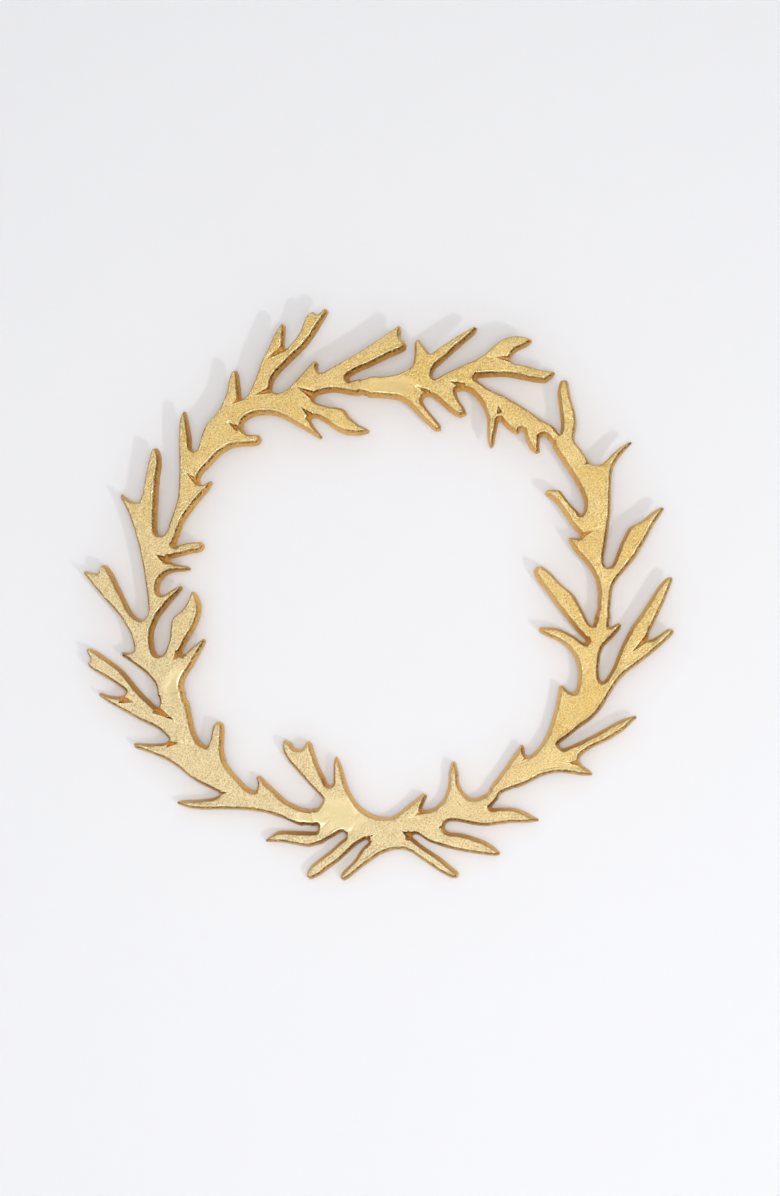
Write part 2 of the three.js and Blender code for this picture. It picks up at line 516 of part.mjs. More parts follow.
// The fillet weld round a foot of the loop: a hollow-sided ring about the leg
function filletGeometry(side) {
  const bore = ROD_RADIUS + GAP;
  const shoulder = bore + 0.5;
  const profile = new THREE.Path();
  profile.moveTo(bore, 0);
  profile.lineTo(FILLET_RADIUS, 0);
  profile.quadraticCurveTo(shoulder + 0.2, 0.8, shoulder, FILLET_HEIGHT);
  profile.lineTo(bore, FILLET_HEIGHT);
  profile.lineTo(bore, 0);
  const geometry = new THREE.LatheGeometry(profile.getPoints(4), 20);
  geometry.translate(LOOP_X + (side * LOOP_SPAN) / 2, GAP, LOOP_Z);
  return geometry;
}

const group = new THREE.Group();
group.name = 'wreath';

// Adds one named piece, moved so that the hook bears at the origin
function addPiece(name, geometry, finish) {
  geometry.translate(-HOOK.x, -HOOK.y, -HOOK.z);
  const mesh = new THREE.Mesh(geometry, new THREE.MeshStandardMaterial(finish));
  mesh.name = name;
  group.add(mesh);
}

addPiece('sprig_bottom', castingGeometry(BOTTOM), castGold);
addPiece('sprig_lower_right', castingGeometry(LOWER_RIGHT), castGold);
addPiece('sprig_upper_right', castingGeometry(UPPER_RIGHT), castGold);
addPiece('sprig_top', castingGeometry(TOP), castGold);
addPiece('sprig_upper_left', castingGeometry(UPPER_LEFT), castGold);
addPiece('sprig_left', castingGeometry(LEFT), castGold);
addPiece('sprig_lower_left', castingGeometry(LOWER_LEFT), castGold);

addPiece('weld_bottom', weldGeometry(SEAMS.bottom), groundGold);
addPiece('weld_lower_right', weldGeometry(SEAMS.lowerRight), groundGold);
addPiece('weld_right', weldGeometry(SEAMS.right), groundGold);
addPiece('weld_upper_right', weldGeometry(SEAMS.upperRight), groundGold);
addPiece('weld_top', weldGeometry(SEAMS.top), groundGold);
addPiece('weld_upper_left', weldGeometry(SEAMS.upperLeft), groundGold);
addPiece('weld_left', weldGeometry(SEAMS.left), groundGold);

addPiece('hanging_loop', loopGeometry(), rodGold);
addPiece('loop_weld_left', filletGeometry(-1), rodGold);
addPiece('loop_weld_right', filletGeometry(1), rodGold);

export default group;
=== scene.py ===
"""A gold-finished wall wreath of seven sand-cast sprigs welded into a ring, hung by a loop on its
back in front of a pale wall.

Everything is worked out in millimetres in the row frame (x to the right, z up, y from the front
of the wreath to its back) and put into the meshes in metres. The castings and the front of each
weld are fields of height over a grid in x and z: see plate().
"""

import bpy
import numpy as np
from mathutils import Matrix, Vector


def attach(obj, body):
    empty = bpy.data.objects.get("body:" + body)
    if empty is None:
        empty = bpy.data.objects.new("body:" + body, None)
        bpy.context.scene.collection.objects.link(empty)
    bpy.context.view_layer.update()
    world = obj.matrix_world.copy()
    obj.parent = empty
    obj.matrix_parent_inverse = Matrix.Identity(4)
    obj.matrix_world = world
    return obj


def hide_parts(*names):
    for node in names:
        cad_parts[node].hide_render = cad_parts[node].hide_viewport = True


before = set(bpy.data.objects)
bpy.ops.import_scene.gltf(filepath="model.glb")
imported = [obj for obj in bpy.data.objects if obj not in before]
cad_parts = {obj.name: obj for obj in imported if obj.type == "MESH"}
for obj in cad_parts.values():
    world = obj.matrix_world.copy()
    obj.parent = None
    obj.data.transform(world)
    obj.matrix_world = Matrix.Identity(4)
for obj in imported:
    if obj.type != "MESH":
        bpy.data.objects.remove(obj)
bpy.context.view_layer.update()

MM = 1000             # millimetres in a metre
TINY = 1e-6           # keeps a division from meeting nothing

# The plate
BACK = -12.0          # y of the flat back
THICK = 11.0          # height of a broad arm's front above the back
GRID = 0.42           # spacing of the grid that the front is worked out on
STEP = 0.25           # spacing of the points on a casting's outline
CENTRE = np.array([2.6, -174.5])   # middle of the ring, x and z

CASTINGS = ("sprig_bottom", "sprig_lower_right", "sprig_upper_right", "sprig_top",
            "sprig_upper_left", "sprig_left", "sprig_lower_left")

# Seams: outer and inner corner of the end face before and after each, x and z from the middle
SEAMS = {
    "weld_bottom": ((-61.5, -196.5), (-61.5, -182), (-55, -197), (-55, -183)),
    "weld_lower_right": ((97, -182), (91.5, -171.5), (102, -176), (96, -167)),
    "weld_right": ((197, -30), (183, -29), (197.5, -24), (185, -24)),
    "weld_upper_right": ((156, 134), (150, 125), (153, 138), (146.5, 129)),
    "weld_top": ((-7, 184.5), (-7.5, 168.5), (-13, 183), (-13.5, 170)),
    "weld_upper_left": ((-177.5, 58.5), (-166.5, 56), (-179, 54.5), (-168, 52)),
    "weld_left": ((-185, -88), (-162.5, -85), (-184, -93), (-161, -90.5)),
}

# Where the front is ground smooth: middle from the ring's, half length, half width and tilt
GROUND = (
    (-34, -188, 33, 17, -5), (-58, -190, 9, 10, 0),
    (12, 176, 27, 10, 0), (-169, -78, 18, 10, 70),
)

# Valleys that run out of the crotches over the plate: mouth and apex from the ring's middle, and
# half the width at the mouth
VALLEYS = (
    (-79.4, 209.2, -91.3, 201.4, 3.5), (-91.3, 173.4, -101.6, 170.0, 3.0),
    (-117.9, 140.9, -124.7, 145.1, 3.0), (-54.5, 169.1, -65.7, 175.1, 3.5),
    (-56.2, 152.0, -63.1, 158.0, 2.5), (-152.1, 94.7, -160.7, 102.3, 3.0),
    (-116.2, 166.6, -122.1, 162.3, 3.0), (-181.2, 29.6, -187.2, 33.0, 2.5),
    (231.4, -38.9, 217.7, -50.8, 3.5), (171.5, -145.0, 162.9, -145.0, 3.0),
    (41.3, -185.2, 33.6, -188.6, 2.5), (28.5, -205.8, 23.4, -202.4, 3.0),
    (166.3, -86.0, 159.5, -81.7, 2.0), (127.8, -139.0, 124.4, -142.4, 2.0),
    (100.4, -181.8, 95.3, -183.5, 2.5), (58.5, -198.0, 53.3, -199.0, 2.5),
    (116.7, 197.4, 103.8, 199.1, 3.5), (74.7, 175.1, 64.5, 178.6, 3.0),
    (44.8, 170.0, 37.1, 174.3, 2.5), (105.5, 152.0, 104.3, 157.1, 2.5),
    (173.2, 45.9, 183.5, 50.2, 3.0), (183.4, 110.1, 176.6, 106.7, 2.5),
    (-216.3, -89.4, -206.9, -92.0, 4.0), (-186.3, -98.8, -173.1, -106.5, 4.0),
    (-176.1, -127.9, -166.7, -127.0, 3.0), (-167.5, -50.9, -171.8, -56.8, 3.5),
    (-134.1, -170.7, -126.4, -169.0, 2.5), (-56.2, -203.2, -47.3, -198.0, 3.0),
    (-30.6, -210.0, -23.7, -203.2, 2.5), (-10.9, -210.0, -2.3, -205.3, 2.5),
)

# Unevenness: the size of its waves, which draw it is, and its height in mm or its share
FACE_WARP = (17, 1, 0.28)
FACE_DENTS = (6, 2, 0.12)
WALL_SWAY = (7, 3, 0.35)
WALL_NICKS = (2.5, 4, 0.12)
SAND = (1.5, 5, 0.08)
FINE_SAND = (0.9, 6, 0.06)
BEAD_EDGE = (2.2, 8, 0.06)
FILLET_LUMPS = 3.1            # size only: each fillet has its own draw
GROUND_EDGE = (5, 21, 0.14)
LIP_BREAKS = (9, 31, 0.25)

# The hanging loop
ROD = 2.0                     # radius of the rod
LOOP_Z = 2.0                  # height of its middle line
LEGS = (-18.4, 11.6)          # x of the two legs
FOOT_Y = BACK - 0.5
BAR_Y = 0.0
BEND = 4.0                    # radius of its two bends


# ---------------------------------------------------------------- arrays

def smooth(low, high, value):
    """0 below low, 1 above high, and 3t^2 - 2t^3 between."""
    t = np.clip((value - low) / (high - low), 0, 1)
    return t * t * (3 - 2 * t)


def lattice_value(ix, iz, draw):
    """One repeatable number from -1 to 1 for each pair of whole numbers: each is multiplied by a
    large prime, their bits are mixed twice, and the last twenty bits are scaled."""
    mixed = (ix * 73856093) ^ (iz * 19349663) ^ (draw * 83492791)
    mixed = (mixed ^ (mixed >> 13)) * 1274126177 & 0x7FFFFFFF
    twenty_bits = 0xFFFFF
    mixed = (mixed ^ (mixed >> 16)) & twenty_bits
    return mixed / (twenty_bits / 2) - 1


def waves(x, z, size, draw):
    """Smooth noise from -1 to 1: random values on a square lattice of this size, blended."""
    u, v = x / size, z / size
    i, j = np.floor(u).astype(np.int64), np.floor(v).astype(np.int64)
    s, t = smooth(0, 1, u - i), smooth(0, 1, v - j)
    low = lattice_value(i, j, draw) * (1 - s) + lattice_value(i + 1, j, draw) * s
    high = lattice_value(i, j + 1, draw) * (1 - s) + lattice_value(i + 1, j + 1, draw) * s
    return low * (1 - t) + high * t


def uneven(x, z, kind):
    """The waves of one kind of unevenness, times its height."""
    size, draw, height = kind
    return waves(x, z, size, draw) * height


def soft_lower(a, b, radius):
    """The lower of two heights, with the corner between them rounded off."""
    gap = np.clip(0.5 + 0.5 * (b - a) / radius, 0, 1)
    return b * (1 - gap) + a * gap - radius * gap * (1 - gap)


def blurred(values, reach):
    """Three passes of a running mean of 2 * reach + 1 cells along both axes."""
    for _ in range(3):
        for axis in (0, 1):
            pad = [(reach + 1, reach) if k == axis else (0, 0) for k in (0, 1)]
            total = np.cumsum(np.pad(values, pad), axis=axis)
            size = values.shape[axis]
            ahead = np.take(total, np.arange(size) + 2 * reach + 1, axis=axis)
            behind = np.take(total, np.arange(size), axis=axis)
            values = (ahead - behind) / (2 * reach + 1)
    return values


def widest(values, reach):
    """The largest value within this many cells along both axes."""
    for axis in (0, 1):
        grown = values
        for shift in range(1, reach + 1):
            for step in (shift, -shift):
                grown = np.maximum(grown, np.roll(values, step, axis=axis))
        values = grown
    return values


def end_to_end(faces):
    """The rim of a sheet of faces, in order: every side that no other face runs the other way,
    end to end. It is followed by doubling: the corners found so far are followed by as many
    again, and each jump then becomes two jumps."""
    starts = faces.ravel().astype(np.int64)
    ends = np.roll(faces, -1, axis=1).ravel().astype(np.int64)
    count = starts.max() + 1
    alone = ~np.isin(starts * count + ends, ends * count + starts)
    jump = np.arange(count)
    jump[starts[alone]] = ends[alone]
    order = starts[alone][:1]
    while len(order) < alone.sum():
        order = np.concatenate([order, jump[order]])
        jump = jump[jump]
    return order[:alone.sum()]


def quads_round(around, along):
    """The faces of a grid that closes on itself: this many columns of this many corners."""
    i, k = np.meshgrid(np.arange(around), np.arange(along - 1), indexing="ij")
    a, b = i * along + k, (i + 1) % around * along + k
    return np.stack([a, b, b + 1, a + 1], axis=-1).reshape(-1, 4)


def full_turn(count):
    """This many equal angles round a circle."""
    return np.linspace(0, 2 * np.pi, count + 1)[:-1]


# ---------------------------------------------------------------- outlines

def back_outline(name):
    """The edge of a casting's flat back, in order, in x and z: the triangles that lie in the back
    plane are merged at their corners and their rim is followed."""
    merged_per_mm = 50      # corners within a fiftieth of a millimetre are one
    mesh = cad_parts[name].data
    places = np.empty(len(mesh.vertices) * 3)
    mesh.vertices.foreach_get("co", places)
    places = places.reshape(-1, 3) * MM
    corners = np.empty(len(mesh.loops), np.int32)
    mesh.loops.foreach_get("vertex_index", corners)
    triangles = corners.reshape(-1, 3)
    flat = np.abs(places[triangles][:, :, 1] - BACK).max(axis=1) < 1 / merged_per_mm
    keys = np.round(places[:, [0, 2]] * merged_per_mm).astype(np.int64)
    keys, merged = np.unique(keys, axis=0, return_inverse=True)
    return keys[end_to_end(merged.reshape(-1)[triangles[flat]])] / merged_per_mm


def rounded(corners, spacing):
    """A smooth closed curve through the corners: on each side a cubic whose end slopes are the
    centripetal Catmull-Rom ones, so that a short side beside a long one doesn't bulge."""
    before, after, beyond = (np.roll(corners, k, axis=0) for k in (1, -1, -2))
    side = after - corners
    length = np.linalg.norm(side, axis=1)[:, None]
    t1 = np.sqrt(length)
    t0, t2 = np.roll(t1, 1, axis=0), np.roll(t1, -1, axis=0)
    slope = side / t1
    start = slope + t1 * ((corners - before) / t0 - (after - before) / (t0 + t1))
    finish = slope + t1 * ((beyond - after) / t2 - (beyond - corners) / (t1 + t2))
    count = np.maximum(1, np.ceil(length[:, 0] / spacing).astype(int))
    which = np.repeat(np.arange(len(corners)), count)
    first = np.cumsum(count) - count
    t = ((np.arange(len(which)) - first[which]) / count[which])[:, None]
    return ((2 * t**3 - 3 * t**2 + 1) * corners[which] + (t**3 - 2 * t**2 + t) * start[which]
            + (3 * t**2 - 2 * t**3) * after[which] + (t**3 - t**2) * finish[which])


def nearest(points, curve, left_out=None):
    """For each point: its distance to the closed curve, the nearest place on it and which of the
    curve's points that is. The nearest curve point is found first, then the nearest place on the
    two sides that meet there. Curve points that are left out count as far away."""
    batch, far_squared = 4000, 1e9
    index = np.empty(len(points), int)
    squares = (curve**2).sum(axis=1)
    if left_out is not None:
        squares = np.where(left_out, far_squared, squares)
    for low in range(0, len(points), batch):
        part = points[low:low + batch]
        index[low:low + batch] = np.argmin(squares - 2 * part @ curve.T, axis=1)
    best = np.full(len(points), np.inf)
    place = np.zeros_like(points)
    for step in (-1, 0):
        a = curve[(index + step) % len(curve)]
        side = curve[(index + step + 1) % len(curve)] - a
        t = ((points - a) * side).sum(axis=1) / np.maximum((side**2).sum(axis=1), TINY**2)
        foot = a + np.clip(t, 0, 1)[:, None] * side
        gap = np.linalg.norm(points - foot, axis=1)
        closer = gap < best
        best = np.where(closer, gap, best)
        place[closer] = foot[closer]
    return best, place, index


def covered(curve, low, shape):
    """Which cells of a grid have their middle inside the closed curve. Each short side that
    crosses a row of middles toggles every cell to the right of it."""
    a = (curve - low) / GRID - 0.5
    b = np.roll(a, -1, axis=0)
    row = np.ceil(np.minimum(a[:, 1], b[:, 1])).astype(int)
    crosses = row < np.maximum(a[:, 1], b[:, 1])
    a, b, row = a[crosses], b[crosses], row[crosses]
    x = a[:, 0] + (row - a[:, 1]) / (b[:, 1] - a[:, 1]) * (b[:, 0] - a[:, 0])
    toggles = np.zeros((shape[0] + 1, shape[1]), int)
    np.add.at(toggles, (np.ceil(x).astype(int), row), 1)
    return np.cumsum(toggles, axis=0)[:-1] % 2 == 1


# ---------------------------------------------------------------- plates

def grid_over(curve):
    """A square grid over the curve: its low corner, the cells inside the curve, the corners of
    those cells, the numbers of each cell's four corners, and which corners lie on the rim. Where
    only two cells touch at a corner, cornerwise, a third is taken in, so that the rim never meets
    itself."""
    margin = 3
    low = curve.min(axis=0) - margin * GRID
    shape = tuple(np.ceil((curve.max(axis=0) - low) / GRID).astype(int) + margin)
    cells = covered(curve, low, shape)
    for _ in range(3):
        a, b, c, d = cells[:-1, :-1], cells[1:, :-1], cells[:-1, 1:], cells[1:, 1:]
        one, other = a & d & ~b & ~c, b & c & ~a & ~d
        cells[1:, :-1] |= one
        cells[:-1, :-1] |= other
    used = np.zeros((shape[0] + 1, shape[1] + 1), int)
    for dx, dz in ((0, 0), (1, 0), (0, 1), (1, 1)):
        used[dx:dx + shape[0], dz:dz + shape[1]] += cells
    numbers = np.cumsum(used.ravel() > 0).reshape(used.shape) - 1
    i, k = np.nonzero(cells)
    quads = np.stack([numbers[i, k], numbers[i + 1, k],
                      numbers[i + 1, k + 1], numbers[i, k + 1]], axis=1)
    at = np.stack(np.nonzero(used > 0), axis=1)
    return low, cells, at, quads, used[used > 0] < 4


def drawn_to_rim(points, rim, curve, least):
    """Moves the corners on the rim onto the outline, and holds the others this far off it. Also
    says which point of the outline is nearest to each."""
    distance, foot, index = nearest(points, curve)
    away = (points - foot) / np.maximum(distance, TINY)[:, None]
    close = ~rim & (distance < least)
    points = np.where(close[:, None], foot + away * least, points)
    points[rim] = foot[rim]
    return points, index


def on_end_face(curve):
    """Which points of an outline lie on an end face at a seam: close to the straight line that
    ends a casting, and not at its corners."""
    reach, corner = 2.0, 0.25
    found = np.zeros(len(curve), bool)
    for outer_a, inner_a, outer_b, inner_b in SEAMS.values():
        for outer, inner in ((outer_a, inner_a), (outer_b, inner_b)):
            start, run = CENTRE + outer, np.subtract(inner, outer)
            length = np.hypot(*run)
            along = (curve - start) @ run / length
            across = np.abs((curve - start) @ np.array([-run[1], run[0]])) / length
            found |= (across < reach) & (along > corner) & (along < length - corner)
    return found


def valley_depth(points):
    """How far inside a valley, in mm from its edge: a V that starts a little before its apex and
    widens evenly to just past the crotch it runs out of. Also how deep the V is cut there."""
    cut, lead_in, overrun, outside = 5.5, 0.25, 0.1, -9.0
    inside = np.full(len(points), outside)
    deep = np.zeros(len(points))
    for mouth_x, mouth_z, apex_x, apex_z, half in VALLEYS:
        run = np.array([mouth_x - apex_x, mouth_z - apex_z])
        length = np.hypot(*run)
        off = points - CENTRE - np.array([apex_x, apex_z])
        along = off @ run / length**2
        across = np.abs(off @ np.array([-run[1], run[0]])) / length
        share = np.where(along < 1 + overrun, (along + lead_in) / (1 + lead_in) - across / half,
                         outside)
        inside = np.maximum(inside, share * half)
        deep = np.maximum(deep, share * cut)
    return inside, deep


def ground_share(points):
    """How far the metal is ground smooth: 1 in the middle of each ground patch, and 0 outside its
    ellipse, whose edge wanders."""
    full, none = 0.35, 1.15       # in half lengths of the ellipse
    share = np.zeros(len(points))
    for x, z, long_half, short_half, tilt in GROUND:
        off = points - CENTRE - np.array([x, z])
        c, s = np.cos(np.radians(tilt)), np.sin(np.radians(tilt))
        u = (off[:, 0] * c + off[:, 1] * s) / long_half
        v = (off[:, 1] * c - off[:, 0] * s) / short_half
        edge = np.hypot(u, v) + uneven(points[:, 0], points[:, 1], GROUND_EDGE)
        share = np.maximum(share, 1 - smooth(full, none, edge))
    return share


def wall_lean(curve, low, cells, field):
    """For each point of the outline, how far its wall leans in from the back edge to the front:
    the draft, which sways, less on a thin thorn and more in a crotch, where the mould has a
    fillet. A crotch is where metal fills most of the cells around; its share comes second."""
    draft, fillet, thin_share = 2.5, 3.0, 0.85
    around, near, beside = 12, 4, 7           # cells
    open_side, closed_in = 0.62, 0.86         # share of the cells around that hold metal
    x, z = curve.T
    spot = tuple(np.clip(((curve - low) / GRID).astype(int), 0, np.array(cells.shape) - 1).T)
    metal = blurred(np.pad(cells, around).astype(float), near)[around:-around, around:-around]
    crotch = smooth(open_side, closed_in, metal[spot])
    swayed = draft + (uneven(x, z, WALL_SWAY) + uneven(x, z, WALL_NICKS))
    return np.minimum(swayed, thin_share * widest(field, beside)[spot]) + fillet * crotch, crotch


def wall_facing(points, outward):
    """How far the nearest wall faces out of the ring, how far it faces down and right, and how
    far it is on the low side, where the finish paints shade and its strongest highlights: out of
    the ring and down, or down and right, whichever is more, from 0 to 1."""
    radial = points - CENTRE
    radial /= np.linalg.norm(radial, axis=1)[:, None]
    facing_out = (outward * radial).sum(axis=1)
    low_right = 0.7 * (outward[:, 0] - outward[:, 1])
    low_shade = np.maximum(0.75 * facing_out - 0.5 * outward[:, 1], 0.8 * low_right - 0.1)
    return facing_out, low_right, np.clip(low_shade, 0, 1)


def left_rough(ground):
    """How much of the sand's roughness grinding leaves."""
    return 1 - 0.8 * ground


def top_height(points, body, inside, ground, low_right):
    """The height of the nearly flat top: the body less a hair, warped and dented, sinking towards
    the arris by an exponential of the distance inside it, with a raised lip just within the
    arris on the lower right sides. Grinding takes off most of it."""
    sunk, dip, dip_reach, dip_ground = 0.25, 0.45, 1.6, 0.6
    lip_place, lip_width, lip_height, lip_turn = 0.9, 0.7, 0.45, 0.2
    x, z = points.T
    top = (body - sunk + uneven(x, z, FACE_WARP) + uneven(x, z, FACE_DENTS) * left_rough(ground)
           - dip * np.exp(-np.maximum(inside, 0) / dip_reach) * (1 - dip_ground * ground))
    lip = np.exp(-((inside - lip_place) / lip_width) ** 2) * (1 - ground)
    return top + (lip * np.clip(low_right + lip_turn, 0, 1)
                  * (lip_height + uneven(x, z, LIP_BREAKS)))


def plate(curve, extra=0.0):
    """The front of a casting: over the grid in x and z, the height above the back is the lower of
    a wall that rises from the outline (distance times the body over the wall's lean) and a top
    that is nearly flat, with the corner between them rounded, less the valleys, plus the sand's
    grain. The body is THICK on a broad arm and less on a thorn, and a broad arm's walls slope
    more where they face the middle of the ring. The end face at a seam counts for nothing, so
    the front runs on from piece to piece. Returns the corners, the heights, the cells, the cells
    on an end face, and what the finish needs to know about each corner."""
    least_gap, least_height = 0.4 * GRID, 0.02
    beside = 9                                # cells
    thorn_body, thorn, broad = 0.72, 1.0, 4.2
    inner_slope, slope_from, slope_to = 1.1, 3.0, 6.0
    arris, valley_rise, valley_round, valley_near = 1.2, 0.4, 1.5, -2
    edge_span = 4

    low, cells, at, quads, rim = grid_over(curve)
    points, index = drawn_to_rim(low + at * GRID, rim, curve, least_gap)
    end_face = on_end_face(curve)
    at_end = end_face[index] & rim
    distance, foot, index = nearest(points, curve, end_face)
    outward = (foot - points) / np.maximum(distance, TINY)[:, None]
    distance = np.maximum(distance, least_gap)

    field = np.zeros((cells.shape[0] + 1, cells.shape[1] + 1))
    field[at[:, 0], at[:, 1]] = distance
    wide = widest(field, beside)[at[:, 0], at[:, 1]]
    lean, crotch = wall_lean(curve, low, cells, field)
    facing_out, low_right, shaded_low_side = wall_facing(points, outward)
    ground = ground_share(points)

    slope = inner_slope * np.clip(-facing_out, 0, 1) * smooth(slope_from, slope_to, wide)
    reach = lean[index] + slope
    body = THICK * (thorn_body + (1 - thorn_body) * smooth(thorn, broad, wide))
    top = top_height(points, body, distance - reach, ground, low_right)
    height = soft_lower(distance / reach * body, top, arris)
    valley, deep = valley_depth(points)
    in_valley = soft_lower(height, body - deep + valley_rise, valley_round)
    height = np.where(valley > valley_near, in_valley, height)
    x, z = points.T
    grain = (uneven(x, z, SAND) + uneven(x, z, FINE_SAND)) * left_rough(ground)
    height += grain * smooth(0, 1, distance)
    height = np.where(rim, 0, np.maximum(height, least_height) + extra)

    edge = np.clip(np.minimum(distance - reach, -valley), -edge_span, edge_span)
    # the low-side mark says where the finish paints shade under the arrises and on browner walls,
    # and where its painted highlights are strongest
    marks = {"edge": edge, "ground": ground, "crotch": crotch[index], "shaded_low_side": shaded_low_side}
    return points, height, quads, np.nonzero(at_end[quads].any(axis=1))[0].tolist(), marks


def with_back(points, height, quads):
    """The corners and faces of a plate: its front, and one flat back face inside the same rim."""
    vertices = np.stack([points[:, 0], BACK - height, points[:, 1]], axis=1)
    return vertices, quads.tolist() + [end_to_end(quads)[::-1].tolist()]


def add_mesh(name, vertices, faces, marks=None, shade_flat=None):
    """A mesh from arrays in millimetres, with one named number per corner for each mark."""
    mesh = bpy.data.meshes.new(name)
    mesh.from_pydata((np.asarray(vertices) / MM).tolist(), [], [list(f) for f in faces])
    mesh.update()
    for mark, values in (marks or {}).items():
        layer = mesh.attributes.new(mark, "FLOAT", "POINT")
        layer.data.foreach_set("value", np.asarray(values, np.float32))
    smooth_faces = np.ones(len(mesh.polygons), bool)
    if shade_flat is not None:
        smooth_faces[shade_flat] = False
    mesh.polygons.foreach_set("use_smooth", smooth_faces)
    piece = bpy.data.objects.new(name, mesh)
    bpy.context.scene.collection.objects.link(piece)
    return piece


def casting_piece(name):
    """A whole casting: the front of plate() over a flat back of one face inside the same rim."""
    curve = rounded(back_outline(name), STEP)
    points, height, quads, sheer, marks = plate(curve)
    vertices, faces = with_back(points, height, quads)
    return add_mesh(name.replace("sprig", "casting"), vertices, faces, marks,
                    sheer + [len(quads)])


def weld_bead(outer, inner):
    """The raised bead of a weld on the back: half an egg over the seam, as a function of an angle
    round it and one from its rim to its crown, with a ripple for each stroke of the torch, whose
    strokes bow back from the middle."""
    half_width, height, root = 4.5, 2.5, 0.6
    short_of_end, stroke_length, bow, ripple_height = 2.2, 1.9, 0.22, 0.28
    edge_pitch = 9                            # mm of edge unevenness to one radius
    around, up = 72, 31
    middle = (outer + inner) / 2
    along = (outer - inner) / 2
    length = np.linalg.norm(along) - short_of_end
    along = along / np.linalg.norm(along)
    across = np.array([-along[1], along[0]])
    t, r = np.meshgrid(full_turn(around), np.linspace(-0.5 * np.pi, 0.5 * np.pi, up),
                       indexing="ij")
    u, v = np.cos(t) * np.cos(r), np.sin(t) * np.cos(r)
    stroke = (u * length + bow * (v * half_width) ** 2) / stroke_length
    ripple = np.abs(np.sin(np.pi * stroke)) * ripple_height * np.clip(np.sin(r), 0, 1)
    edge = 1 + uneven(u * edge_pitch + middle[0], v * edge_pitch, BEAD_EDGE)
    x = middle[0] + (u * length * along[0] + v * half_width * across[0]) * edge
    z = middle[1] + (u * length * along[1] + v * half_width * across[1]) * edge
    y = BACK + np.where(r > 0, np.sin(r) * height + ripple, np.sin(r) * root)
    return np.stack([x, y, z], axis=-1).reshape(-1, 3), quads_round(around, up)


def weld_piece(name):
    """A weld: a plate across the seam that laps a little into both castings, a hair proud of
    them at the front, where it is ground down with them, and a hair sunk at the back, under its
    bead."""
    lap, proud, sunk, side_points = 1.7, 0.03, 0.15, 80
    # The bead is marked as wall, so it takes the walls' deeper orange, a painted shade.
    on_bead = {"edge": -3.0, "ground": 0.0, "crotch": 0.0, "shaded_low_side": 0.0}
    outer_a, inner_a, outer_b, inner_b = (CENTRE + np.array(p) for p in SEAMS[name])
    outer_lap, inner_lap = (lap * (b - a) / np.linalg.norm(b - a)
                            for a, b in ((outer_a, outer_b), (inner_a, inner_b)))
    ring = np.array([outer_a - outer_lap, inner_a - inner_lap,
                     inner_b + inner_lap, outer_b + outer_lap])
    steps = np.arange(side_points)[:, None] / side_points
    curve = np.concatenate([a + steps * (b - a)
                            for a, b in zip(ring, np.roll(ring, -1, axis=0))])
    points, height, quads, sheer, marks = plate(curve, extra=proud)
    vertices, faces = with_back(points, np.maximum(height, sunk), quads)
    bead, bead_faces = weld_bead((outer_a + outer_b) / 2, (inner_a + inner_b) / 2)
    marks = {mark: np.concatenate([values, np.full(len(bead), on_bead[mark])])
             for mark, values in marks.items()}
    return add_mesh(name + "_seam", np.concatenate([vertices, bead]),
                    faces + (bead_faces + len(vertices)).tolist(), marks, sheer + [len(quads)])


# ---------------------------------------------------------------- hanging loop

def swept(path, radius, sides):
    """A round rod: a circle of this radius carried along the path, in the plane square to it. The
    path lies level, so the circle's axes are z and the level direction square to the path."""
    ahead = np.gradient(path, axis=0)
    ahead /= np.linalg.norm(ahead, axis=1)[:, None]
    level = np.stack([ahead[:, 1], -ahead[:, 0], 0 * ahead[:, 0]], axis=1)
    turn = full_turn(sides)
    ring = (path[:, None] + radius * (np.cos(turn)[None, :, None] * level[:, None]
            + np.sin(turn)[None, :, None] * np.array([0, 0, 1.0])))
    i, k = np.meshgrid(np.arange(len(path) - 1), np.arange(sides), indexing="ij")
    a, b = i * sides + k, i * sides + (k + 1) % sides
    return ring.reshape(-1, 3), np.stack([a, b, b + sides, a + sides], axis=-1).reshape(-1, 4)


def loop_piece():
    """The bent rod of the loop: a leg, a quarter turn, the bar, a quarter turn and a leg, closed
    by a face at each foot. The second half is the first one mirrored."""
    sides = 40
    quarter = np.linspace(0, np.pi / 2, 17)
    left, right = LEGS
    straight = np.linspace(0, 1, 9)[:, None]
    leg = np.array([left, FOOT_Y]) + straight * np.array([0, BAR_Y - BEND - FOOT_Y])
    bend = np.stack([left + BEND * (1 - np.cos(quarter)),
                     BAR_Y - BEND * (1 - np.sin(quarter))], axis=1)
    half = np.concatenate([leg[:-1], bend])
    other = half[::-1] * np.array([-1, 1]) + np.array([left + right, 0])
    path = np.concatenate([half, other])
    path = np.column_stack([path, np.full(len(path), LOOP_Z)])
    vertices, quads = swept(path, ROD, sides)
    first = np.arange(sides)
    ends = [first[::-1].tolist(), (first + len(vertices) - sides).tolist()]
    return add_mesh("bent_rod", vertices, quads.tolist() + ends,
                    shade_flat=[len(quads), len(quads) + 1])


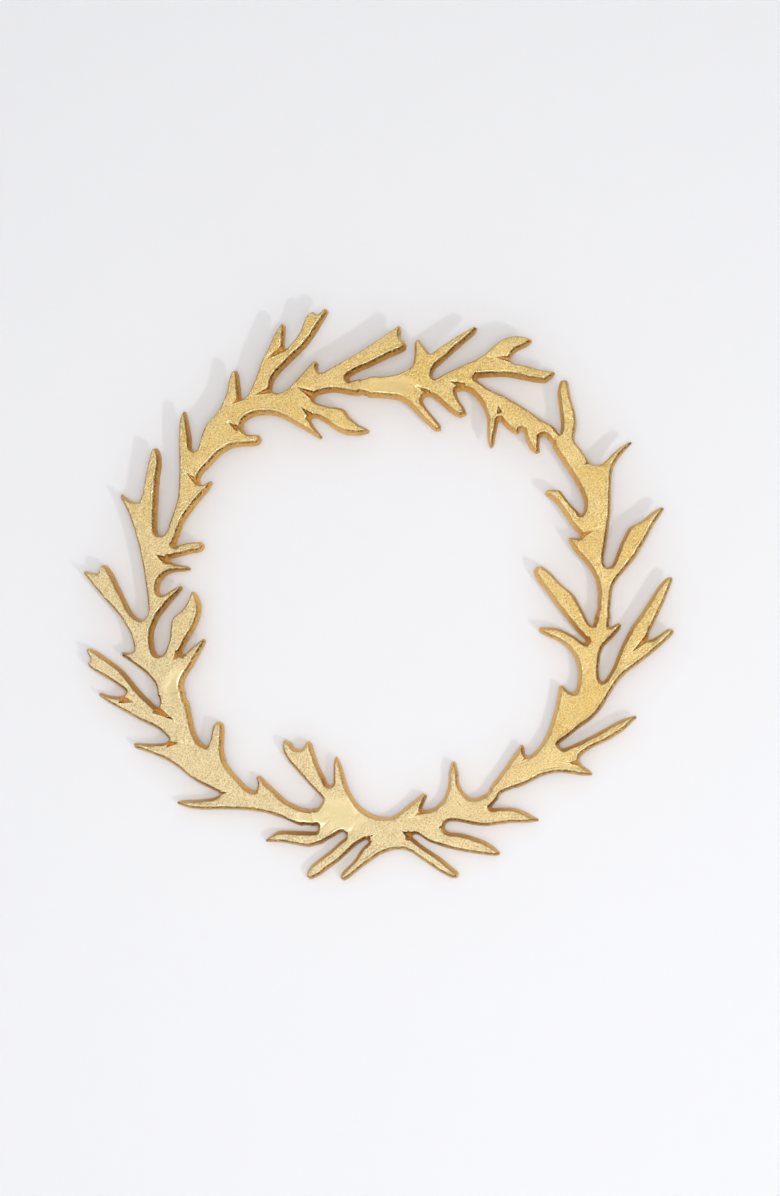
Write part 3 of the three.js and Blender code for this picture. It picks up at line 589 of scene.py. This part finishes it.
def fillet_piece(name, x, draw):
    """The fillet weld round a foot: a hollow-sided collar, as a function of the angle round the leg
    and of the way up its side, with the ripples and lumps that the torch leaves. Its radius falls
    from the foot to the rod by a power of the way up."""
    around, up = 96, 17
    width, hollow, height, rise = 2.6, 1.7, 3.2, 1.1
    into_rod, into_back = 0.1, 0.3
    lump_pitch, lump_height, ripples, ripple_height = 6, 0.35, 7, 0.22
    t, u = np.meshgrid(full_turn(around), np.linspace(0, 1, up), indexing="ij")
    lump = (waves(np.cos(t) * lump_pitch, np.sin(t) * lump_pitch, FILLET_LUMPS, draw)
            * lump_height + np.abs(np.sin(t * ripples)) * ripple_height)
    radius = ROD - into_rod + (width + lump) * (1 - u) ** hollow
    y = BACK - into_back + height * u ** rise
    vertices = np.stack([x + radius * np.cos(t), y, LOOP_Z + radius * np.sin(t)], axis=-1)
    quads = quads_round(around, up)
    floor = np.arange(around) * up
    faces = quads.tolist() + [floor[::-1].tolist(), (floor + up - 1).tolist()]
    return add_mesh(name, vertices.reshape(-1, 3), faces,
                    shade_flat=[len(quads), len(quads) + 1])


# ---------------------------------------------------------------- finishes

def linear(code):
    """The linear colour of an sRGB hex code."""
    parts = [int(code[k:k + 2], 16) / 255 for k in (1, 3, 5)]
    return tuple(p / 12.92 if p <= 0.04045 else ((p + 0.055) / 1.055) ** 2.4
                 for p in parts) + (1.0,)


def add(tree, kind, inputs=(), output=0, **settings):
    """Adds one node with its settings, and links or sets its inputs, which are in order or under
    their names or numbers. Gives one of its outputs, to link on."""
    node = tree.nodes.new("ShaderNode" + kind)
    for key, value in settings.items():
        setattr(node, key, value)
    for key, value in inputs.items() if isinstance(inputs, dict) else enumerate(inputs):
        if isinstance(value, bpy.types.NodeSocket):
            tree.links.new(value, node.inputs[key])
        else:
            node.inputs[key].default_value = value
    return node.outputs[output] if node.outputs else None


def share_of(tree, *factors):
    """A share of the surface: the product of the factors. A factor is a number, an output, or a
    band: an output and the two values between which its share goes from 0 to 1, or from and to
    the two shares that follow them."""
    product = None
    for factor in factors:
        part = add(tree, "MapRange", factor) if isinstance(factor, tuple) else factor
        product = part if product is None else add(tree, "Math", (product, part),
                                                   operation="MULTIPLY")
    return product


def coated(tree, colour, *coats):
    """Coats laid over a colour one after another, each a share and a colour."""
    factor, under, over, result = 0, 6, 7, 2      # the colour sockets of a Mix node
    for share, coat in coats:
        colour = add(tree, "Mix", {factor: share, under: colour, over: coat}, result,
                     data_type="RGBA")
    return colour


def lumps(tree, size, detail, roughness):
    """A noise on Object coordinates whose lumps are about this many millimetres apart."""
    place = add(tree, "TexCoord", output="Object")
    return add(tree, "TexNoise", {"Vector": place, "Scale": MM / size, "Detail": detail,
                                  "Roughness": roughness})


def bare_material(name):
    material = bpy.data.materials.new(name)
    material.use_nodes = True
    material.node_tree.nodes.clear()
    return material, material.node_tree


def gilt(tree, colour, rough, height, strength, depth):
    """The gold itself: bare metal of this colour and roughness, and a bump this deep in metres."""
    bump = add(tree, "Bump", {"Height": height, "Strength": strength, "Distance": depth})
    shader = add(tree, "BsdfPrincipled", {"Base Color": colour, "Metallic": 1.0,
                                          "Roughness": rough, "Normal": bump})
    add(tree, "OutputMaterial", (shader,))


def cast_gold():
    """Gold finish over a sand casting: pale grainy faces with painted shade in the grain's pits and
    painted glints on its peaks, paler towards the lower left as painted light; walls in a deeper
    orange that is painted shade, browner in places on the low sides; bright arrises, partly worn
    and partly a painted highlight; a broken dark line of painted shade under them on the low
    sides; and smooth brushed metal where a seam is ground."""
    material, tree = bare_material("cast_gold")
    edge, ground, crotch, shaded_low_side = (
        add(tree, "Attribute", output="Fac", attribute_name=mark)
        for mark in ("edge", "ground", "crotch", "shaded_low_side"))
    grain = lumps(tree, 1.15, 3.0, 0.62)
    fine = lumps(tree, 0.5, 2.0, 0.6)
    broken = lumps(tree, 4.5, 3.0, 0.6)
    place = add(tree, "TexCoord", output="Object")
    to_lower_left = add(tree, "VectorMath", (place, (-0.6, 0, -0.8)), "Value",
                        operation="DOT_PRODUCT")
    grainy = add(tree, "Math", (1.0, share_of(tree, ground, 0.8)), operation="SUBTRACT")
    # pale yellow faces, a little deeper in broad patches, with painted shade in the pits of the
    # grain and painted glints on its peaks, and paler towards the lower left, a painted light
    # painted light: the faces and the ground metal paler towards the lower left
    painted_lower_left_light = share_of(tree, (to_lower_left, 0.12, 0.30))
    patches = share_of(tree, (lumps(tree, 30, 2.0, 0.5), 0.35, 0.65))
    # painted shade: darker colour in the low spots of the grain
    painted_pit_shade = share_of(tree, (grain, 0.53, 0.36, 0.0, 0.72), grainy)
    # painted highlight: pale glints on the high spots of the grain
    painted_glints = share_of(tree, (grain, 0.56, 0.68, 0.0, 0.6), grainy)
    specks = share_of(tree, (lumps(tree, 1.6, 1.0, 0.4), 0.66, 0.74, 0.0, 0.5), grainy)
    face = coated(tree, linear("#F7DB96"),
                  (patches, linear("#F0CF82")),
                  (share_of(tree, painted_lower_left_light, 0.8), linear("#F0E0B8")),
                  (painted_pit_shade, linear("#BF9244")),
                  (painted_glints, linear("#FCEFC0")),
                  (specks, linear("#8F6C30")),
                  (ground, coated(tree, linear("#D6BC82"), (painted_lower_left_light, linear("#CDBC90")))))
    # walls are a deeper orange gold than the faces, a painted shade, browner here and there on the
    # low sides, also painted shade, with dark grains in crotches
    # painted shade: browner walls here and there on the low sides
    low_shade = share_of(tree, shaded_low_side, (broken, 0.40, 0.62, 0.05, 0.45))
    dark_grains = share_of(tree, (lumps(tree, 2.4, 2.0, 0.5), 0.54, 0.64), crotch, 0.75)
    # painted shade: the walls' deeper orange, with paler grains
    side = coated(tree, linear("#DBA654"),
                  (share_of(tree, (grain, 0.36, 0.62)), linear("#FBD284")),
                  (low_shade, linear("#8A6422")),
                  (dark_grains, linear("#54390F")))
    # over both, a dark line of painted shade just under the arris on the low sides, and bright
    # arrises, partly worn and partly a painted highlight, broken along their length
    wall = share_of(tree, (edge, 0.05, -0.5))
    # painted shade: a broken dark line just under the arris, on the low sides
    painted_shade_line = share_of(tree, (edge, -1.7, -1.0), (edge, 0.1, -0.3),
                         (lumps(tree, 2.2, 3.0, 0.6), 0.42, 0.56), (shaded_low_side, 0.1, 0.7, 0.15, 1.0))
    # partly wear and partly painted highlight: pale arrises, strongest on the low sides
    worn_and_highlit = share_of(tree, (edge, -0.25, 0.15), (edge, 1.7, 0.8), (shaded_low_side, 0.0, 0.5, 0.5, 1.0),
                    (broken, 0.58, 0.44))
    colour = coated(tree, face, (wall, side), (painted_shade_line, linear("#44350F")),
                    (share_of(tree, worn_and_highlit, 0.85), linear("#FFEFBA")))
    # smoother where worn, rougher on walls and ground metal
    rough = add(tree, "Math", (share_of(tree, (grain, 0.3, 0.7, 0.34, 0.52)),
                               share_of(tree, worn_and_highlit, 0.2)), operation="SUBTRACT")
    brushed = add(tree, "Math", (wall, ground), operation="MAXIMUM")
    rough = add(tree, "Math", (rough, share_of(tree, brushed, 0.10)), operation="ADD")
    height = add(tree, "Math", (grain, share_of(tree, fine, 0.4)), operation="ADD")
    gilt(tree, colour, rough, share_of(tree, height, grainy), 1.0, 0.0007)
    return material


def rod_gold(name, lumps_mm, depth, pale, deep):
    """Gold over smooth rod or bare weld: fine streaks of tone and a low bump."""
    material, tree = bare_material(name)
    tone = lumps(tree, lumps_mm, 3.0, 0.6)
    colour = coated(tree, linear(deep), (share_of(tree, (tone, 0.35, 0.65)), linear(pale)))
    gilt(tree, colour, share_of(tree, (tone, 0.3, 0.7, 0.42, 0.30)), tone, 0.6, depth)
    return material


def pale_paint(name, code, rough):
    """Matt paint that can't be seen from behind, so that the wall doesn't hide the back."""
    material, tree = bare_material(name)
    paint = add(tree, "BsdfPrincipled", {"Base Color": linear(code), "Roughness": rough})
    behind = add(tree, "NewGeometry", output="Backfacing")
    shader = add(tree, "MixShader", (behind, paint, add(tree, "BsdfTransparent")))
    add(tree, "OutputMaterial", (shader,))
    return material


# ---------------------------------------------------------------- pieces

def give(piece, node, material, flat=None):
    """Stands a piece in for a CAD node, with its finish, riding on the one body. The faces that
    aren't shaded smooth can have a finish of their own."""
    piece.data.materials.append(material)
    if flat is not None:
        piece.data.materials.append(flat)
        rounded_faces = np.empty(len(piece.data.polygons), bool)
        piece.data.polygons.foreach_get("use_smooth", rounded_faces)
        piece.data.polygons.foreach_set("material_index", (~rounded_faces).astype(np.int32))
    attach(piece, "root")
    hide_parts(node)


gold = cast_gold()
back = rod_gold("back_gold", 2.2, 0.0005, "#DDB868", "#A67C38")
for node in CASTINGS:
    give(casting_piece(node), node, gold, back)

for node in SEAMS:
    give(weld_piece(node), node, gold, back)

rod = rod_gold("rod_gold", 2.5, 0.00006, "#E2C070", "#C99B48")
fillet = rod_gold("fillet_gold", 1.2, 0.00018, "#C6984A", "#8E6A30")
give(loop_piece(), "hanging_loop", rod)
give(fillet_piece("fillet_left", LEGS[0], 11), "loop_weld_left", fillet)
give(fillet_piece("fillet_right", LEGS[1], 12), "loop_weld_right", fillet)


# ---------------------------------------------------------------- wall, floor, light and camera

middle = Vector((CENTRE[0] / MM, BACK / MM, CENTRE[1] / MM))


def wall_and_floor():
    """One sheet, as a profile carried sideways: the wall, which leans a little away above the
    wreath's foot, turns through a cove into a level floor well below it."""
    lean, lean_from, straight_from = 0.05, -430, -420
    cove = 260.0
    floor_z, foot_y = -1500.0, BACK + 3
    front_y, top_z, half_width = -3500, 1500, 2600.0
    turn = np.linspace(0, np.pi / 2, 25)
    y = np.concatenate([[front_y], foot_y - cove + cove * np.sin(turn), [foot_y, foot_y]])
    z = np.concatenate([[floor_z], floor_z + cove - cove * np.cos(turn), [straight_from, top_z]])
    tilt = np.maximum(z - lean_from, 0) * lean
    gx, gy = np.meshgrid(np.array([-half_width, half_width]), y + tilt, indexing="ij")
    vertices = np.stack([gx, gy, np.broadcast_to(z, gx.shape)], axis=-1).reshape(-1, 3)
    a = np.arange(len(y) - 1)
    quads = np.stack([a, a + len(y), a + len(y) + 1, a + 1], axis=1)
    return add_mesh("wall_and_floor", vertices, quads.tolist())


def looking_at(name, data, place, target):
    """Puts a lamp or a camera at a place, turned to its target."""
    holder = bpy.data.objects.new(name, data)
    bpy.context.scene.collection.objects.link(holder)
    holder.location = place
    holder.rotation_euler = (target - place).to_track_quat("-Z", "Y").to_euler()
    return holder


def area_light(name, offset, size, power):
    """A round soft lamp, this far from the wreath's middle in metres, turned to it."""
    lamp = bpy.data.lights.new(name, "AREA")
    lamp.shape = "DISK"
    lamp.size = size
    lamp.energy = power
    looking_at(name, lamp, middle + Vector(offset), middle)


def studio_world():
    """An even white tent: its strength is a base plus a share of the square of the direction's y,
    so it is brightest straight in front and behind, and dimmer towards the sides."""
    base, front = 0.455, 0.20
    world = bpy.data.worlds.new("studio")
    bpy.context.scene.world = world
    world.use_nodes = True
    tree = world.node_tree
    direction = add(tree, "TexCoord", output="Generated")
    y = add(tree, "SeparateXYZ", (direction,), "Y")
    square = add(tree, "Math", (y, 2.0), operation="POWER")
    background = tree.nodes["Background"]
    background.inputs["Color"].default_value = (0.98, 0.985, 1.0, 1)
    tree.links.new(add(tree, "Math", (square, front, base), operation="MULTIPLY_ADD"),
                   background.inputs["Strength"])


def studio_camera():
    """A little to the right of the middle and below it, looking almost square on. The lens takes
    in this height of view, in metres, at the wreath's distance."""
    distance, view, sensor = 2.7, 1.0140, 36.0
    azimuth, elevation = np.radians(4.5), np.radians(-5.5)
    camera = bpy.data.cameras.new("camera")
    camera.sensor_fit = "VERTICAL"
    camera.sensor_height = sensor
    camera.lens = sensor * distance / view
    camera.clip_end = 50
    aim = middle + Vector((0.0117, 0, -0.0044))
    away = Vector((np.sin(azimuth) * np.cos(elevation), -np.cos(azimuth) * np.cos(elevation),
                   np.sin(elevation)))
    bpy.context.scene.camera = looking_at("camera", camera, aim + distance * away, aim)


backdrop = wall_and_floor()
backdrop.data.materials.append(pale_paint("pale_paint", "#F3F3F5", 0.9))

area_light("key_lower_right", (1.43, -2.6, -1.17), 0.16, 13)
area_light("front", (0.22, -2.75, -0.30), 1.1, 25)
studio_world()
studio_camera()
bpy.context.scene.view_settings.view_transform = "Standard"
